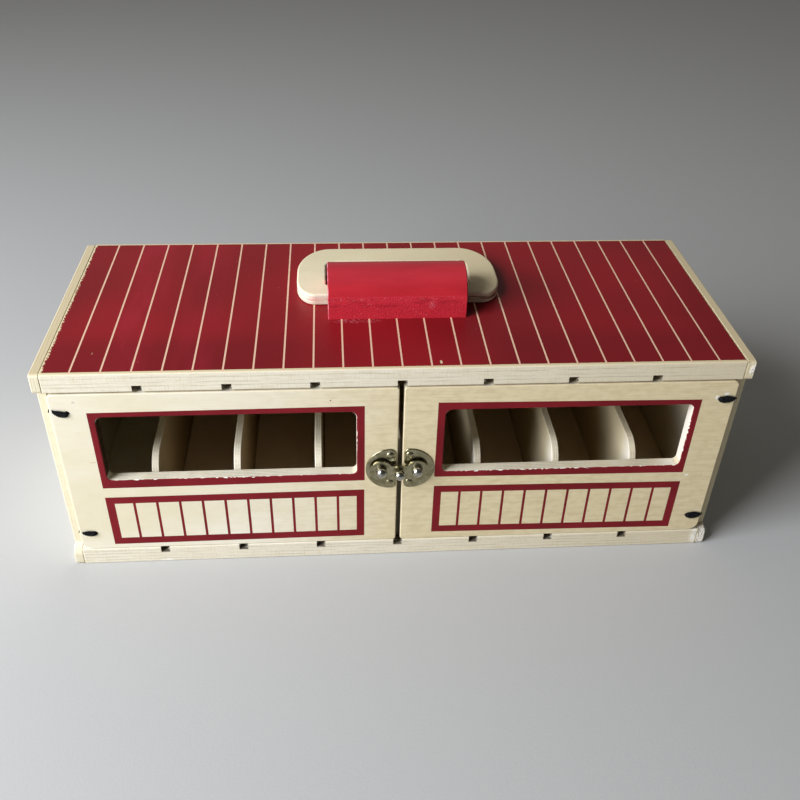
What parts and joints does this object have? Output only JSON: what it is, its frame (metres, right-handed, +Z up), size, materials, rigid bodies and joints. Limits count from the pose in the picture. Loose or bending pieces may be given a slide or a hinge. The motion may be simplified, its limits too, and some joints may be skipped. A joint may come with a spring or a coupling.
{
  "type": "toy barn with opening doors",
  "caption": "Long wooden toy stable box with a flat striped roof, two windowed front doors on cord hinges, a swing clasp and a folding carry handle.",
  "frame": {"origin": "centre of the base panel's underside", "axes": "+X to the right along the length, +Y from the doors to the back, +Z up"},
  "size_m": [0.3968, 0.1626, 0.166],
  "materials": {
    "natural_plywood": "bare sanded basswood plywood with red printed frames on the doors",
    "handle_plywood": "bare sanded plywood with rounded edges",
    "printed_roof_plywood": "plywood with a red screen print and thin bare lines on its top",
    "red_painted_wood": "satin red paint over solid wood",
    "black_cord": "black braided cord",
    "nickelled_brass": "nickel-washed brass, slightly tarnished",
    "steel_fasteners": "bright drawn steel"
  },
  "bodies": {
    "box": {"roof_panel": "printed_roof_plywood", "base_panel": "natural_plywood", "back_panel": "natural_plywood", "end_wall_left": "natural_plywood", "end_wall_right": "natural_plywood", "wall_nails_left": "steel_fasteners", "wall_nails_right": "steel_fasteners", "stall_divider_1": "natural_plywood", "stall_divider_2": "natural_plywood", "stall_divider_3": "natural_plywood", "stall_divider_4": "natural_plywood", "stall_divider_5": "natural_plywood", "stall_divider_6": "natural_plywood", "stall_divider_7": "natural_plywood", "handle_bracket": "red_painted_wood", "bracket_screws": "steel_fasteners"},
    "left_door": {"door_left": "natural_plywood", "clasp_plate_left": "nickelled_brass", "clasp_nails_left": "nickelled_brass", "clasp_pivot": "nickelled_brass", "hinge_cord_left_top": "black_cord", "hinge_cord_left_bottom": "black_cord"},
    "right_door": {"door_right": "natural_plywood", "clasp_plate_right": "nickelled_brass", "clasp_nails_right": "nickelled_brass", "catch_post": "nickelled_brass", "hinge_cord_right_top": "black_cord", "hinge_cord_right_bottom": "black_cord"},
    "clasp": {"clasp_arm": "nickelled_brass", "clasp_knob": "nickelled_brass"},
    "handle": {"handle_ring": "handle_plywood"}
  },
  "joints": [
    {"name": "left_door_hinge", "type": "hinge", "parent": "box", "child": "left_door", "pos_m": [-0.19115, -0.0732, 0.07], "axis": [0, 0, -1], "range_deg": [0, 120], "deforming": ["hinge_cord_left_top", "hinge_cord_left_bottom"]},
    {"name": "right_door_hinge", "type": "hinge", "parent": "box", "child": "right_door", "pos_m": [0.19115, -0.0732, 0.07], "axis": [0, 0, 1], "range_deg": [0, 120], "deforming": ["hinge_cord_right_top", "hinge_cord_right_bottom"]},
    {"name": "clasp_swing", "type": "hinge", "parent": "left_door", "child": "clasp", "pos_m": [-0.0109, -0.0786, 0.0711], "axis": [0, -1, 0], "range_deg": [0, 110]},
    {"name": "handle_fold", "type": "hinge", "parent": "box", "child": "handle", "pos_m": [0.0007, -0.00665, 0.1438], "axis": [1, 0, 0], "range_deg": [0, 180]}
  ]
}
